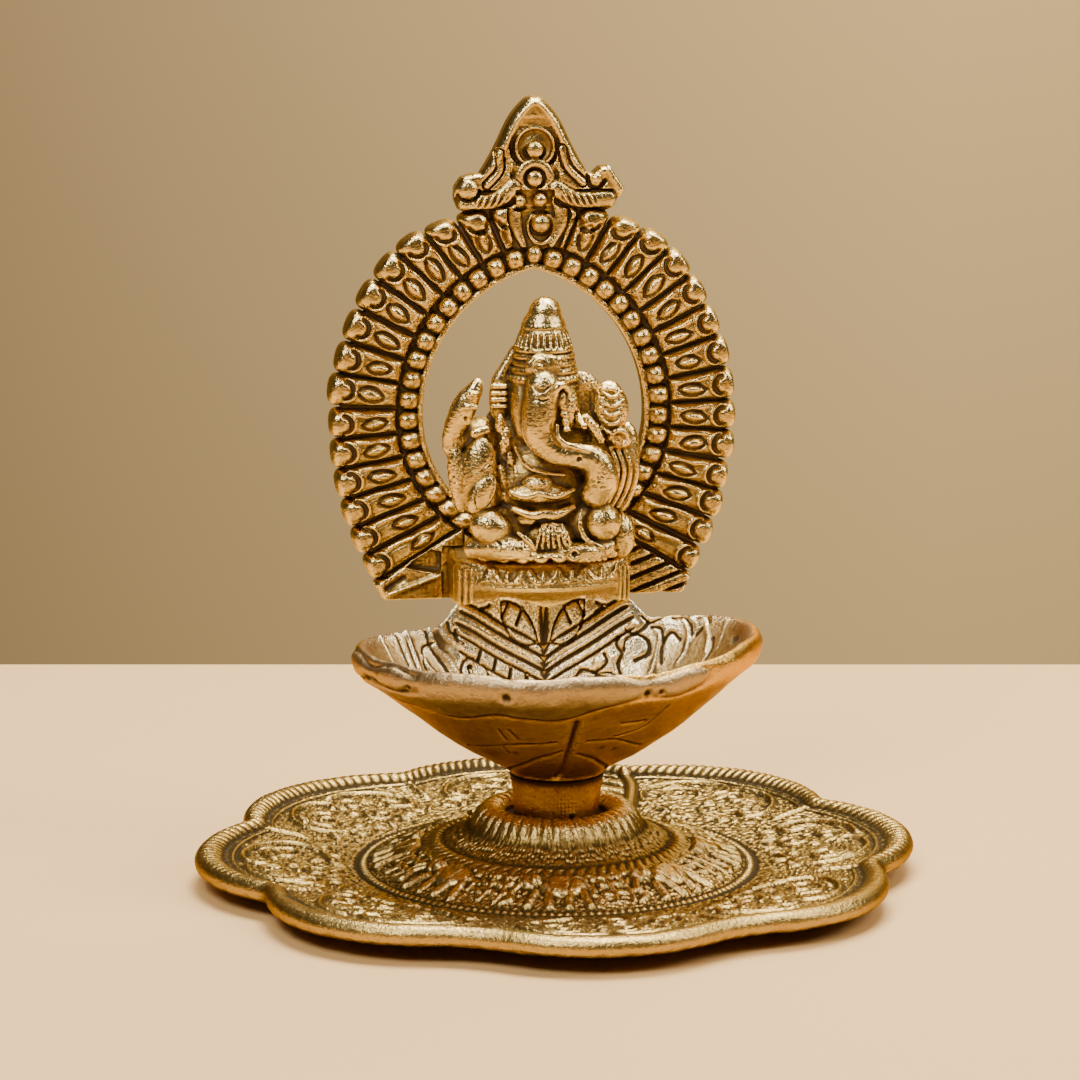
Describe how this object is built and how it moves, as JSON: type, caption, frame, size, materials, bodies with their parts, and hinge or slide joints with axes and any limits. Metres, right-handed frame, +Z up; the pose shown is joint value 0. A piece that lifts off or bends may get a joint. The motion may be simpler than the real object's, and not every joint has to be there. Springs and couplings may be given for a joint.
{
  "type": "diya oil lamp",
  "caption": "Cast metal oil lamp: lobed ornate dish, short stem, leaf-shaped oil bowl, and a seated elephant-headed figure in front of an openwork arch.",
  "frame": {"origin": "stem axis at the level of the table", "axes": "+Z up, -Y to the front of the lamp, +X to the right seen from the front"},
  "size_m": [0.14, 0.14, 0.1482],
  "materials": {
    "antique_gold": "antique gold, dark patina in the recesses",
    "satin_amber": "smooth satin, amber gold",
    "pale_brass": "antique pale gold, dark patina in the recesses",
    "zinc_steel": "zinc-plated fastener"
  },
  "bodies": {
    "root": {"base_plate": "pale_brass", "stem": "satin_amber", "bowl": "satin_amber", "seat": "antique_gold", "figure": "antique_gold", "arch": "antique_gold", "base_washer": "zinc_steel", "base_bolt": "zinc_steel", "figure_screw": "zinc_steel", "seat_screw_left": "zinc_steel", "seat_screw_right": "zinc_steel", "arch_screw_left": "zinc_steel", "arch_screw_right": "zinc_steel"}
  },
  "joints": []
}
